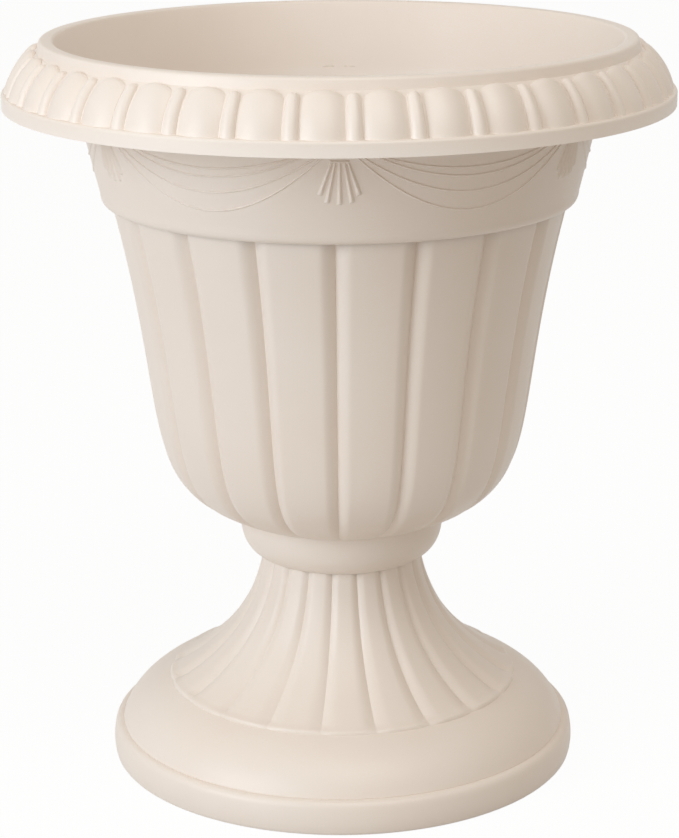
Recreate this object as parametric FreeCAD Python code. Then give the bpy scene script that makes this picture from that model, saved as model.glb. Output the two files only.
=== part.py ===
import FreeCAD, Part

import math
import os

from FreeCAD import Vector

# Urn planter: a fluted bowl with an egg-and-dart rim that lifts off a hollow
# fluted pedestal, and push-in plugs over the drain holes in the bowl's floor.
# Millimetres, +Z up, origin at the middle of the base where it meets the floor.
# The front, with one swag end, faces -Y.

# ---- walls and fits ----
WALL = 3.0                    # moulded wall of bowl and pedestal
SOCKET_CLEARANCE = 0.06       # radial, pedestal spigot in the bowl's sleeve
KEY_CLEARANCE = 0.2           # each side of a locating key in its slot
PLUG_CLEARANCE = 0.05         # radial, drain plug in its hole
MOUTH_CLEARANCE = 0.6         # radial, collar mouth round the fluted neck

# ---- pedestal, from the floor up ----
RING_HEIGHT = 21.2            # bottom ring that stands on the floor
RING_RADIUS = 147.8
RING_FOOT_DRAFT = 1.0         # how far the ring draws in at the floor
RING_SHOULDER = 5.5           # rounding at the ring's top edge
RING_BULGE = 1.4              # how far that rounding swells, outward and up
DOME_FOOT_RADIUS = 141.5      # where the dome drops onto the ring
DOME_HEIGHT = 27.8
LEDGE_RADIUS = 110.2          # raised step that ends the flutes
LEDGE_HEIGHT = 2.2
LEDGE_ROUND = 1.2
FLARE_RADIUS = 108.6          # crest of the flutes at the ledge
FLARE_HEIGHT = 81.8
NECK_RADIUS = 49.4            # crest of the flutes at the neck
FLUTES = 20
FLUTE_PHASE = 1.9             # degrees, middle of the front flute
FLUTE_SHOULDER = 0.30         # rounded share of a flute at each side
SPIGOT_RADIUS = 44.0
SPIGOT_LENGTH = 22.0
KEY_WIDTH = 8.0
KEY_HEIGHT = 1.4              # how far a locating key stands off the spigot
KEYS = 2

# ---- bowl, from its seat on the neck up ----
SLEEVE_LENGTH = 25.0          # seat to the underside of the bowl's floor
COLLAR_RADIUS = 64.0
COLLAR_DROP = 2.5             # how far the collar hangs below the seat
COLLAR_STRAIGHT = 8.0         # upright part of the collar under the floor
BODY_HEIGHT = 200.5           # lobed part
BODY_FOOT_RADIUS = 66.0
BODY_TOP_RADIUS = 139.6
LOBES = 18
LOBE_PHASE = 8.85             # degrees, middle of the front lobe
LOBE_SHOULDER = 0.20          # rounded share of a lobe at each side
VALLEY_SHARE = 0.04           # depth of a valley as a share of its radius
BAND_HEIGHT = 51.5            # plain band above the lobes
BAND_FOOT_RADIUS = 146.0
BAND_TOP_RADIUS = 156.8
BAND_ROUND = 6.5              # rounding of the band's lower edge
BAND_UNDERCUT = 142.4         # inner end of that rounding
BAND_BULGE = (1.2, -0.8)      # how far that rounding swells, outward and up

# ---- rim ----
RIM_RISE = 47.2               # top of the band to the lip
LIP_INNER_RADIUS = 171.5
LIP_WIDTH = 8.2
LIP_ROUND = 2.2
LIP_HEIGHT = 6.7              # plain outer edge above the eggs
LIP_SPREAD = 1.5              # how far that edge slopes out
RIM_DROP = 39.4               # lip to the flange's lower edge
FLANGE_RADIUS = 203.2
FLANGE_HEIGHT = 9.0
FLANGE_ROUND = 1.8
OVOLO_FOOT_RADIUS = 198.0     # where the egg course meets the flange
OVOLO_BULGE = 2.6
EGGS = 36
EGG_PHASE = -2.6              # degrees, middle of the front egg
EGG_WIDTH = 23.8
EGG_EDGE = 0.7                # how proud an egg is at its sides
EGG_CREST = 2.9               # and along its middle
EGG_ARCH_RADIUS = 18.0        # arched outline at the top of an egg
EGG_STOP = 0.5                # bare ovolo above an egg's arch
DART_RADIUS = 3.9
DART_SINK = 1.4               # how deep a dart's axis lies in the ovolo
DART_STOP = 3.2               # bare ovolo above a dart's centre at the top
EMBED = 1.5                   # how far ornament reaches into its ground

# ---- drain plugs ----
PLUGS = 3
PLUG_CIRCLE = 24.0
PLUG_PHASE = 30.0             # degrees
PLUG_STEM_RADIUS = 6.0
PLUG_FLANGE_RADIUS = 9.5
PLUG_FLANGE_HEIGHT = 2.0
PLUG_NOSE = 2.0               # stem below the floor's underside
PLUG_GRIP_RADIUS = 3.2
PLUG_GRIP_HEIGHT = 5.0
PLUG_ROUND = 0.8

# ---- levels that follow from the heights ----
DOME_LEVEL = RING_HEIGHT + DOME_HEIGHT
LEDGE_LEVEL = DOME_LEVEL + LEDGE_HEIGHT
SEAT_LEVEL = LEDGE_LEVEL + FLARE_HEIGHT
FLOOR_UNDERSIDE = SEAT_LEVEL + SLEEVE_LENGTH
FLOOR_TOP = FLOOR_UNDERSIDE + WALL
BODY_TOP = FLOOR_UNDERSIDE + BODY_HEIGHT
BAND_TOP = BODY_TOP + BAND_HEIGHT
LIP_TOP = BAND_TOP + RIM_RISE
OVOLO_TOP = LIP_TOP - LIP_HEIGHT
FLANGE_FOOT = LIP_TOP - RIM_DROP
FLANGE_TOP = FLANGE_FOOT + FLANGE_HEIGHT
LIP_OUTER_RADIUS = LIP_INNER_RADIUS + LIP_WIDTH

AXIS = Vector(0, 0, 1)
ORIGIN = Vector(0, 0, 0)

# Handles of the long curves, as shares of their radial and upright reach.
BODY_HANDLES = ((0.897, 0.128), (0.533, 0.257), (0.861, 0.793))
FLARE_HANDLES = ((0.514, 0.205), (0.110, 0.502))
DOME_HANDLE = (0.80, 0.63)
BODY_SECTIONS = 13            # even steps along a curve keep a lofted skin true
FLARE_SECTIONS = 8
LOFT_DEGREE = 3
OVERRUN = 0.01                # share of a curve by which a form enters its neighbour
NECK_STOP = 0.97              # share of the flare where its hollow ends


# ---- curves in the half plane: x is the radius, z the height ----
def point(radius, height):
    return Vector(radius, 0, height)


def spread_curve(start, end, handles):
    """Bezier curve from start to end with handles at shares of its reach."""
    poles = [start]
    for radial_share, upright_share in handles:
        poles.append(point(start.x + radial_share * (end.x - start.x),
                           start.z + upright_share * (end.z - start.z)))
    poles.append(end)
    curve = Part.BezierCurve()
    curve.setPoles(poles)
    return curve


def body_curve():
    """Crest line of the bowl's lobes, from the collar up to the band."""
    return spread_curve(point(BODY_FOOT_RADIUS, FLOOR_UNDERSIDE),
                        point(BODY_TOP_RADIUS, BODY_TOP), BODY_HANDLES)


def flare_curve():
    """Crest line of the pedestal's flutes, from the ledge up to the neck."""
    near_ledge, near_neck = FLARE_HANDLES
    handles = [(1 - near_ledge[0], near_ledge[1]), (1 - near_neck[0], near_neck[1])]
    return spread_curve(point(FLARE_RADIUS, LEDGE_LEVEL),
                        point(NECK_RADIUS, SEAT_LEVEL), handles)


def inward(curve, share, distance):
    """Point at a share of the curve, moved square to it towards the axis."""
    tangent = curve.tangent(share)[0]
    side = Vector(-tangent.z, 0, tangent.x)
    return curve.value(share) + side * distance


def line(start, end):
    return Part.LineSegment(start, end).toShape()


def arc(start, middle, end):
    return Part.Arc(start, middle, end).toShape()


def round_corner(corner, before, after, radius):
    """Tangent arc in the corner between the directions to before and after."""
    to_before = (before - corner).normalize()
    to_after = (after - corner).normalize()
    half = to_before.getAngle(to_after) / 2
    reach = radius / math.tan(half)
    bisector = (to_before + to_after).normalize()
    middle = corner + bisector * (radius / math.sin(half) - radius)
    return corner + to_before * reach, middle, corner + to_after * reach


def turned(edges):
    """Solid of revolution of a closed outline in the half plane."""
    return Part.Face(Part.Wire(edges)).revolve(ORIGIN, AXIS, 360)


def closed_to_axis(edges, foot, top):
    """Edges from (foot) up to (top), closed down the axis."""
    return edges + [line(top, point(0, top.z)), line(point(0, top.z), point(0, foot.z)),
                    line(point(0, foot.z), foot)]


# ---- lobed forms ----
def polar(radius, angle, height):
    return Vector(radius * math.cos(angle), radius * math.sin(angle), height)


def shoulder_arc(valley, crest):
    """Arc from a valley point that ends on the crest circle, along it."""
    outward = Vector(crest.x, crest.y, 0).normalize()
    across = crest - valley
    radius = across.dot(across) / (2 * across.dot(outward))
    centre = crest - outward * radius
    middle = ((valley - centre) + (crest - centre)).normalize() * radius
    return centre + middle


def lobed_wire(count, phase, shoulder, crest, height, valley):
    """Ring of lobes: each has a broad face and two rounded shoulders."""
    step = 2 * math.pi / count
    start = math.radians(phase - 90) - step / 2
    edges = []
    for lobe in range(count):
        low = start + lobe * step
        high = low + step
        first = polar(valley, low, height)
        left = polar(crest, low + shoulder * step, height)
        crown = polar(crest, (low + high) / 2, height)
        right = polar(crest, high - shoulder * step, height)
        last = polar(valley, high, height)
        edges.append(arc(first, shoulder_arc(first, left), left))
        edges.append(arc(left, crown, right))
        edges.append(arc(right, shoulder_arc(last, right), last))
    return Part.Wire(edges)


def lobed_solid(curve, first, last, sections, inset, count, phase, shoulder):
    """Lobed solid inside a crest line, between two shares of that line."""
    wires = []
    for index in range(sections):
        share = first + (last - first) * index / (sections - 1)
        spot = inward(curve, share, inset)
        valley = spot.x * (1 - VALLEY_SHARE)
        wires.append(lobed_wire(count, phase, shoulder, spot.x, spot.z, valley))
    return Part.makeLoft(wires, True, False, False, LOFT_DEGREE)


def flutes(first, last, inset):
    return lobed_solid(flare_curve(), first, last, FLARE_SECTIONS, inset,
                       FLUTES, FLUTE_PHASE, FLUTE_SHOULDER)


def lobes(first, last, inset):
    return lobed_solid(body_curve(), first, last, BODY_SECTIONS, inset,
                       LOBES, LOBE_PHASE, LOBE_SHOULDER)


# ---- pedestal ----
def base_outline(inset):
    """Ring and dome edges from the floor up, moved in by inset."""
    side = RING_RADIUS - RING_FOOT_DRAFT - inset
    foot = point(side, 0)
    bulge = point(RING_RADIUS - inset, (RING_HEIGHT - RING_SHOULDER) / 2)
    side_top = point(side, RING_HEIGHT - RING_SHOULDER)
    dome_foot = point(DOME_FOOT_RADIUS - inset, RING_HEIGHT)
    shoulder = (side_top + dome_foot) * 0.5 + point(RING_BULGE, RING_BULGE)
    dome_top = point(LEDGE_RADIUS, DOME_LEVEL - inset)
    dome = spread_curve(dome_foot, dome_top, [(1 - DOME_HANDLE[0], DOME_HANDLE[1])])
    return [arc(foot, bulge, side_top), arc(side_top, shoulder, dome_foot),
            dome.toShape()], foot, dome_top


def make_pedestal():
    edges, foot, dome_top = base_outline(0)
    ledge_corner = point(LEDGE_RADIUS, LEDGE_LEVEL)
    inner_corner = point(0, LEDGE_LEVEL)
    start, middle, end = round_corner(ledge_corner, dome_top, inner_corner, LEDGE_ROUND)
    edges += [line(dome_top, start), arc(start, middle, end)]
    base = turned(closed_to_axis(edges, foot, end))
    spigot_foot = point(0, SEAT_LEVEL - WALL)
    spigot = Part.makeCylinder(SPIGOT_RADIUS, WALL + SPIGOT_LENGTH, spigot_foot)
    outer = base.fuse([flutes(-OVERRUN, 1, 0), spigot] + locating_keys(0))

    edges, foot, dome_top = base_outline(WALL)
    flute_foot = inward(flare_curve(), 0, WALL)
    edges.append(line(dome_top, flute_foot))
    hollow_base = turned(closed_to_axis(edges, foot, flute_foot))
    bore = Part.makeCylinder(SPIGOT_RADIUS - WALL, SEAT_LEVEL + SPIGOT_LENGTH,
                             point(0, LEDGE_LEVEL))
    return outer.cut([hollow_base, flutes(-OVERRUN, NECK_STOP, WALL), bore])


def locating_keys(grow):
    """Keys on the spigot, or with grow the slots that they slide in."""
    width = KEY_WIDTH + 2 * grow
    reach = SPIGOT_RADIUS + KEY_HEIGHT + grow
    keys = []
    for index in range(KEYS):
        key = Part.makeBox(reach - SPIGOT_RADIUS + WALL / 2, width, SPIGOT_LENGTH - WALL + grow,
                           Vector(SPIGOT_RADIUS - WALL / 2, -width / 2, SEAT_LEVEL))
        key.rotate(ORIGIN, AXIS, index * 360 / KEYS)
        keys.append(key)
    return keys


# ---- bowl ----
def ovolo_arc(inset):
    """Start, middle and end of the egg course's ground, moved in by inset."""
    top = point(LIP_OUTER_RADIUS + LIP_SPREAD, OVOLO_TOP)
    foot = point(OVOLO_FOOT_RADIUS, FLANGE_TOP)
    chord = foot - top
    outward = Vector(-chord.z, 0, chord.x).normalize()
    radius = (chord.Length ** 2 / 4 + OVOLO_BULGE ** 2) / (2 * OVOLO_BULGE)
    centre = (top + foot) * 0.5 + outward * (OVOLO_BULGE - radius)
    ends = [centre + (spot - centre).normalize() * (radius - inset)
            for spot in (top, centre + outward, foot)]
    return ends, centre, radius


def rim_outline():
    """Outer edges from the band's lower edge up over the rim to the lip."""
    undercut = point(BAND_UNDERCUT, BODY_TOP)
    band_foot = point(BAND_FOOT_RADIUS, BODY_TOP + BAND_ROUND)
    bulge = (undercut + band_foot) * 0.5 + point(*BAND_BULGE)
    band_top = point(BAND_TOP_RADIUS, BAND_TOP)
    flange_inner = point(FLANGE_RADIUS - WALL, FLANGE_FOOT)
    flange_corner = point(FLANGE_RADIUS, FLANGE_FOOT)
    ledge_corner = point(FLANGE_RADIUS, FLANGE_TOP)
    (ovolo_top, ovolo_middle, ovolo_foot), _, _ = ovolo_arc(0)
    lip_corner = point(LIP_OUTER_RADIUS, LIP_TOP)
    lip_inner = point(LIP_INNER_RADIUS, LIP_TOP)
    ledge = round_corner(ledge_corner, flange_corner, ovolo_foot, FLANGE_ROUND)
    lip = round_corner(lip_corner, ovolo_top, lip_inner, LIP_ROUND)
    return [line(point(0, BODY_TOP), undercut), arc(undercut, bulge, band_foot),
            line(band_foot, band_top),
            line(band_top, point(BAND_TOP_RADIUS, FLANGE_FOOT)),
            line(point(BAND_TOP_RADIUS, FLANGE_FOOT), flange_inner),
            line(flange_inner, flange_corner), line(flange_corner, ledge[0]),
            arc(*ledge), line(ledge[2], ovolo_foot),
            arc(ovolo_foot, ovolo_middle, ovolo_top), line(ovolo_top, lip[0]), arc(*lip),
            line(lip[2], point(0, LIP_TOP)), line(point(0, LIP_TOP), point(0, BODY_TOP))]


def wall_inside(height):
    """Inner radius of the bowl's wall above the lobes."""
    band_slope = (BAND_TOP_RADIUS - BAND_FOOT_RADIUS) / (BAND_HEIGHT - BAND_ROUND)
    if height <= BAND_TOP:
        return BAND_TOP_RADIUS - WALL - band_slope * (BAND_TOP - height)
    rise = (height - BAND_TOP) / RIM_RISE
    return BAND_TOP_RADIUS - WALL + rise * (LIP_INNER_RADIUS - BAND_TOP_RADIUS + WALL)


def upper_cavity():
    """Inside of the bowl from the top of the lobes to the mouth."""
    inner_top = inward(body_curve(), 1, WALL)
    foot = point(inner_top.x, BODY_TOP - EMBED)
    band_foot = point(wall_inside(BODY_TOP + BAND_ROUND), BODY_TOP + BAND_ROUND)
    band_top = point(wall_inside(BAND_TOP), BAND_TOP)
    mouth = point(LIP_INNER_RADIUS, LIP_TOP)
    rounded = round_corner(mouth, band_top, point(2 * LIP_INNER_RADIUS, LIP_TOP), LIP_ROUND)
    above = point(rounded[2].x, LIP_TOP + EMBED)
    edges = [line(foot, band_foot), line(band_foot, band_top), line(band_top, rounded[0]),
             arc(*rounded), line(rounded[2], above)]
    return turned(closed_to_axis(edges, foot, above))


def rim_channel():
    """Open space under the rim, between its skirt and the bowl's wall."""
    (arch_top, arch_middle, arch_foot), _, _ = ovolo_arc(WALL)
    wall_foot = point(BAND_TOP_RADIUS, BAND_TOP)
    wall_top = point(wall_inside(arch_top.z) + WALL, arch_top.z)
    skirt = point(FLANGE_RADIUS - WALL, FLANGE_TOP - WALL)
    skirt_foot = point(FLANGE_RADIUS - WALL, BAND_TOP)
    edges = [line(wall_foot, wall_top), line(wall_top, arch_top),
             arc(arch_top, arch_middle, arch_foot), line(arch_foot, skirt),
             line(skirt, skirt_foot), line(skirt_foot, wall_foot)]
    return turned(edges)


def facing_front(radius, height):
    """Point in the front meridian plane."""
    return Vector(0, -radius, height)


def course_frame():
    """Centre and radius of the ovolo's arc, with its foot and top angles."""
    (top, _, foot), centre, radius = ovolo_arc(0)
    foot_angle = math.degrees(math.atan2(foot.z - centre.z, foot.x - centre.x))
    top_angle = math.degrees(math.atan2(top.z - centre.z, top.x - centre.x))
    return facing_front(centre.x, centre.z), radius, foot_angle, top_angle


def make_egg():
    """One egg: a crowned strip bent over the ovolo, with an arched top."""
    centre, radius, foot_angle, top_angle = course_frame()
    half = EGG_WIDTH / 2
    base = radius - EMBED
    side = radius + EGG_EDGE
    crown = radius + EGG_CREST

    def spot(across, out):
        return centre + Vector(across, -out, 0)

    edges = [line(spot(-half, base), spot(-half, side)),
             arc(spot(-half, side), spot(0, crown), spot(half, side)),
             line(spot(half, side), spot(half, base)), line(spot(half, base), spot(-half, base))]
    sunk = math.degrees(EMBED / radius)
    strip = Part.Face(Part.Wire(edges)).revolve(centre, Vector(-1, 0, 0),
                                               top_angle - foot_angle + sunk)
    strip.rotate(centre, Vector(-1, 0, 0), foot_angle - sunk)
    arch_angle = math.radians(top_angle) - EGG_STOP / radius - math.asin(EGG_ARCH_RADIUS / base)
    outward = Vector(0, -math.cos(arch_angle), math.sin(arch_angle))
    arch = Part.makeCylinder(EGG_ARCH_RADIUS, 2 * EGG_ARCH_RADIUS,
                             centre + outward * (radius - EGG_ARCH_RADIUS), outward)
    return strip.common(arch)


def make_dart():
    """One dart: a round rib bent over the ovolo, with a round top."""
    centre, radius, foot_angle, top_angle = course_frame()
    path_radius = radius - DART_SINK
    stop = top_angle - math.degrees((DART_STOP + DART_RADIUS) / radius)
    sunk = math.degrees(EMBED / radius)
    spot = centre + Vector(0, -path_radius, 0)
    circle = Part.Wire(Part.makeCircle(DART_RADIUS, spot, Vector(0, 0, 1)))
    rib = Part.Face(circle).revolve(centre, Vector(-1, 0, 0), stop - foot_angle + sunk)
    rib.rotate(centre, Vector(-1, 0, 0), foot_angle - sunk)
    angle = math.radians(stop)
    end = centre + Vector(0, -math.cos(angle), math.sin(angle)) * path_radius
    return rib.fuse(Part.makeSphere(DART_RADIUS, end))


def egg_course():
    """Eggs and darts in turn all the way round."""
    egg = make_egg()
    dart = make_dart()
    course = []
    for index in range(EGGS):
        turn = EGG_PHASE + index * 360 / EGGS
        for piece, offset in ((egg, 0), (dart, 180 / EGGS)):
            copy = piece.copy()
            copy.rotate(ORIGIN, AXIS, turn + offset)
            course.append(copy)
    return course


def make_collar():
    """Round collar under the body and the sleeve that takes the spigot."""
    mouth_radius = NECK_RADIUS + MOUTH_CLEARANCE
    mouth_level = SEAT_LEVEL - COLLAR_DROP
    straight_foot = FLOOR_UNDERSIDE - COLLAR_STRAIGHT
    fall = straight_foot - mouth_level
    inward_reach = COLLAR_RADIUS - mouth_radius
    radius = (inward_reach ** 2 + fall ** 2) / (2 * inward_reach)
    centre = point(COLLAR_RADIUS - radius, straight_foot)
    inner_fall = math.sqrt((radius - WALL) ** 2 - (mouth_radius - centre.x) ** 2)
    angle = math.atan2(fall, mouth_radius - centre.x) / 2
    along = point(math.cos(angle), -math.sin(angle))
    top = FLOOR_UNDERSIDE + WALL / 2
    outer_side = point(COLLAR_RADIUS, straight_foot)
    outer_mouth = point(mouth_radius, mouth_level)
    inner_mouth = point(mouth_radius, straight_foot - inner_fall)
    inner_side = point(COLLAR_RADIUS - WALL, straight_foot)
    shell = turned([line(point(COLLAR_RADIUS, top), outer_side),
                    arc(outer_side, centre + along * radius, outer_mouth),
                    line(outer_mouth, inner_mouth),
                    arc(inner_mouth, centre + along * (radius - WALL), inner_side),
                    line(inner_side, point(COLLAR_RADIUS - WALL, top)),
                    line(point(COLLAR_RADIUS - WALL, top), point(COLLAR_RADIUS, top))])
    sleeve_radius = SPIGOT_RADIUS + SOCKET_CLEARANCE
    foot = point(0, SEAT_LEVEL)
    sleeve = Part.makeCylinder(sleeve_radius + WALL, top - SEAT_LEVEL, foot)
    sleeve = sleeve.cut([Part.makeCylinder(sleeve_radius, SLEEVE_LENGTH, foot)]
                        + locating_keys(KEY_CLEARANCE))
    return shell, sleeve


def plug_spots():
    for index in range(PLUGS):
        angle = math.radians(PLUG_PHASE + index * 360 / PLUGS)
        yield polar(PLUG_CIRCLE, angle, 0)


def make_bowl():
    outer = turned(rim_outline()).fuse([lobes(0, 1 + OVERRUN, 0)] + egg_course())
    holes = [Part.makeCylinder(PLUG_STEM_RADIUS + PLUG_CLEARANCE, FLOOR_TOP + EMBED - SEAT_LEVEL,
                               spot + AXIS * SEAT_LEVEL) for spot in plug_spots()]
    shell = outer.cut([lobes(0, 1, WALL), upper_cavity(), rim_channel()])
    collar, sleeve = make_collar()
    return shell.fuse([collar, sleeve]).cut(holes)


# ---- drain plugs ----
def make_plug(spot):
    """Push-in plug: stem through the floor, flange on it and a grip on top."""
    stem = PLUG_STEM_RADIUS
    nose_foot = point(0, FLOOR_UNDERSIDE - PLUG_NOSE)
    flange_top = FLOOR_TOP + PLUG_FLANGE_HEIGHT
    grip_top = flange_top + PLUG_GRIP_HEIGHT
    nose_corner = point(stem, nose_foot.z)
    nose = round_corner(nose_corner, nose_foot, point(stem, FLOOR_TOP), PLUG_ROUND)
    rim_corner = point(PLUG_FLANGE_RADIUS, flange_top)
    rim = round_corner(rim_corner, point(PLUG_FLANGE_RADIUS, FLOOR_TOP),
                       point(0, flange_top), PLUG_ROUND)
    cap_corner = point(PLUG_GRIP_RADIUS, grip_top)
    cap = round_corner(cap_corner, point(PLUG_GRIP_RADIUS, flange_top), point(0, grip_top),
                       PLUG_ROUND)
    edges = [line(nose_foot, nose[0]), arc(*nose), line(nose[2], point(stem, FLOOR_TOP)),
             line(point(stem, FLOOR_TOP), point(PLUG_FLANGE_RADIUS, FLOOR_TOP)),
             line(point(PLUG_FLANGE_RADIUS, FLOOR_TOP), rim[0]), arc(*rim),
             line(rim[2], point(PLUG_GRIP_RADIUS, flange_top)),
             line(point(PLUG_GRIP_RADIUS, flange_top), cap[0]), arc(*cap),
             line(cap[2], point(0, grip_top)), line(point(0, grip_top), nose_foot)]
    plug = turned(edges)
    plug.translate(spot)
    return plug


def write(name, shape):
    solid = shape.Solids[0] if len(shape.Solids) == 1 else shape
    solid.exportStep("parts/" + name + ".step")
    box = solid.BoundBox
    print(f"{name}: valid {solid.isValid()}, solids {len(shape.Solids)}, faces {len(solid.Faces)},"
          f" volume {solid.Volume / 1000:.1f} cm3, z {box.ZMin:.2f} to {box.ZMax:.2f},"
          f" width {box.XLength:.2f}")


os.makedirs("parts", exist_ok=True)
write("pedestal", make_pedestal())
write("bowl", make_bowl())
for number, spot in enumerate(plug_spots(), start=1):
    write(f"drain_plug_{number}", make_plug(spot))
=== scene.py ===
import math

import bmesh
import bpy
import numpy as np
from mathutils import Euler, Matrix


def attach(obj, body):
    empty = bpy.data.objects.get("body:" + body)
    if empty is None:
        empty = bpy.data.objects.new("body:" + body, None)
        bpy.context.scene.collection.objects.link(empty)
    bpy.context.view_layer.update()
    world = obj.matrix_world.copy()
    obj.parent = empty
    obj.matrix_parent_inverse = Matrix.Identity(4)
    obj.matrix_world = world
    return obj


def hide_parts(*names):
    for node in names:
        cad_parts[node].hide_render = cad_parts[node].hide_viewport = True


bl_info = {
    "name": "Garden Urn Planter",
    "version": (1, 0, 0),
    "blender": (4, 5, 0),
    "location": "3D Viewport > Sidebar > Urn",
    "description": "Dresses a moulded urn planter: lobed bowl, egg-and-dart rim, fluted pedestal",
    "category": "Object",
}

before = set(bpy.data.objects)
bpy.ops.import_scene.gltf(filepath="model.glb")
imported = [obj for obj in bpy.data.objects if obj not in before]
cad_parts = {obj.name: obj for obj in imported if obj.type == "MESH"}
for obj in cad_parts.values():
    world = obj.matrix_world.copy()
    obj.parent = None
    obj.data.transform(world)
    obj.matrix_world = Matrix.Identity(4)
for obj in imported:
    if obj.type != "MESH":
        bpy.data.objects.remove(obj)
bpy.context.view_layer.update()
MM = 0.001

# Walls and levels of the mouldings, in millimetres from the floor up.
WALL = 3.0
SEAT_LEVEL = 133.0
FLOOR_UNDERSIDE = 158.0
FLOOR_TOP = 161.0
BODY_TOP = 358.5
BAND_TOP = 410.0
FLANGE_FOOT = 417.8
LIP_TOP = 457.2

# Radii of the mouldings, in millimetres.
BAND_FOOT_RADIUS = 146.1
BAND_TOP_RADIUS = 156.8
BAND_TOP_INSIDE = 153.8
LIP_INNER_RADIUS = 171.5
LIP_OUTER_RADIUS = 179.7
FLANGE_RADIUS = 203.2
FLANGE_INSIDE = 200.2
SLEEVE_RADIUS = 47.06
SLEEVE_BORE = 44.06
SLEEVE_SLOT = 45.6
SPIGOT_RADIUS = 44.0
SPIGOT_BORE = 41.0
SPIGOT_KEY = 45.4

# Poles of the long curves: radius and height.
BODY_CREST = [(66.0, 158.0), (132.02, 183.66), (105.23, 210.03), (129.37, 317.5), (139.6, 358.5)]
FLUTE_CREST = [(108.6, 51.2), (78.17, 67.97), (55.91, 92.26), (49.4, 133.0)]
DOME_CREST = [(110.2, 49.0), (135.24, 38.71), (141.5, 21.2)]
BAND_FOOT = [(142.4, 358.5), (144.6, 358.7), (146.0, 361.2), (BAND_FOOT_RADIUS, 365.0)]
OVOLO_TOP = (181.2, 450.5)
OVOLO_FOOT = (198.0, 426.8)
OVOLO_BULGE = 2.6


# ---- profiles: arrays of radius and height in millimetres ----
def bezier(poles, count):
    """Points along a Bezier curve of any degree."""
    share = np.linspace(0, 1, count)[:, None]
    rows = [np.repeat(np.array([pole], float), count, 0) for pole in poles]
    while len(rows) > 1:
        rows = [a * (1 - share) + b * share for a, b in zip(rows, rows[1:])]
    return rows[0]


def offset(points, distance):
    """Line of points moved square to itself, to the left of its direction."""
    along = np.gradient(points, axis=0)
    along /= np.linalg.norm(along, axis=1)[:, None]
    return points + np.stack([-along[:, 1], along[:, 0]], 1) * distance


def straight(start, end, count):
    return np.linspace(start, end, count)


def rounded(corner, before, after, radius, count=7):
    """Arc that rounds a corner between the directions to before and after."""
    corner, before, after = (np.array(spot, float) for spot in (corner, before, after))
    one = (before - corner) / np.linalg.norm(before - corner)
    two = (after - corner) / np.linalg.norm(after - corner)
    half = math.acos(max(-1, min(1, float(one @ two)))) / 2
    reach = radius / math.tan(half)
    middle = (one + two) / np.linalg.norm(one + two)
    centre = corner + middle * radius / math.sin(half)
    first = corner + one * reach - centre
    last = corner + two * reach - centre
    turn = math.atan2(first[0] * last[1] - first[1] * last[0], float(first @ last))
    angles = np.linspace(0, turn, count)
    return np.stack([centre[0] + first[0] * np.cos(angles) - first[1] * np.sin(angles),
                     centre[1] + first[0] * np.sin(angles) + first[1] * np.cos(angles)], 1)


def ovolo(distance, count, below=0.0):
    """The rounded ground of the eggs from its foot, or a share below it, up to its top."""
    top, foot = np.array(OVOLO_TOP), np.array(OVOLO_FOOT)
    chord = foot - top
    length = float(np.linalg.norm(chord))
    outward = np.array([-chord[1], chord[0]]) / length
    radius = (length ** 2 / 4 + OVOLO_BULGE ** 2) / (2 * OVOLO_BULGE)
    centre = (top + foot) / 2 + outward * (OVOLO_BULGE - radius)
    low = math.atan2(*(foot - centre)[::-1])
    high = math.atan2(*(top - centre)[::-1])
    angles = np.linspace(low - below * (high - low), high, count)
    return centre + (radius + distance) * np.stack([np.cos(angles), np.sin(angles)], 1)


def joined(*runs):
    """One loop from several runs of points, without doubled ends."""
    points = np.concatenate([np.atleast_2d(run) for run in runs])
    keep = np.linalg.norm(points - np.roll(points, 1, 0), axis=1) > 1e-4
    return points[keep]


# ---- meshes ----
def new_piece(name, vertices, faces, crease=35):
    """Mesh object at the origin from points in metres, smooth but for its creases."""
    mesh = bpy.data.meshes.new(name)
    mesh.from_pydata([tuple(v) for v in vertices], [], faces)
    mesh.validate()
    mesh.update()
    mesh.shade_smooth()
    mesh.set_sharp_from_angle(angle=math.radians(crease))
    piece = bpy.data.objects.new(name, mesh)
    bpy.context.scene.collection.objects.link(piece)
    return piece


def ring_faces(rows, columns):
    """Quads of a closed loop of rows turned round a full circle."""
    row, column = np.meshgrid(np.arange(rows), np.arange(columns), indexing="ij")
    below = (row + 1) % rows
    right = (column + 1) % columns
    quads = np.stack([row * columns + column, below * columns + column,
                      below * columns + right, row * columns + right], -1)
    return quads.reshape(-1, 4).tolist()


def turned_points(profile, angles):
    radius = profile[:, 0][:, None] * MM
    return np.stack([radius * np.cos(angles), radius * np.sin(angles),
                     np.repeat(profile[:, 1][:, None] * MM, len(angles), 1)], -1).reshape(-1, 3)


def clockwise(profile):
    """The loop in the direction that makes its faces point outwards."""
    x, z = profile[:, 0], profile[:, 1]
    area = float(np.sum(x * np.roll(z, -1) - np.roll(x, -1) * z))
    return profile if area < 0 else profile[::-1]


def turned_ring(name, profile, columns=360, crease=35):
    """Closed ring from a closed profile loop."""
    angles = np.linspace(0, 2 * math.pi, columns, endpoint=False)
    profile = clockwise(profile)
    return new_piece(name, turned_points(profile, angles), ring_faces(len(profile), columns),
                     crease)


def keyed_angles(half):
    """Angles round the axis, close on each side of two keys half an angle wide."""
    edge = np.array([-half - 1e-3, -half, half, half + 1e-3])
    rest = np.linspace(half + 0.05, math.pi - half - 0.05, 60)
    angles = np.concatenate([edge, rest, edge + math.pi, rest + math.pi])
    return angles, np.abs(np.sin(angles)) <= math.sin(half) + 1e-9


def stacked(rows, angles):
    """Points in metres of rows that each have radii and one height."""
    return MM * np.concatenate([
        np.stack([radii * np.cos(angles), radii * np.sin(angles),
                  np.full(len(angles), height)], -1) for radii, height in rows])


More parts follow.
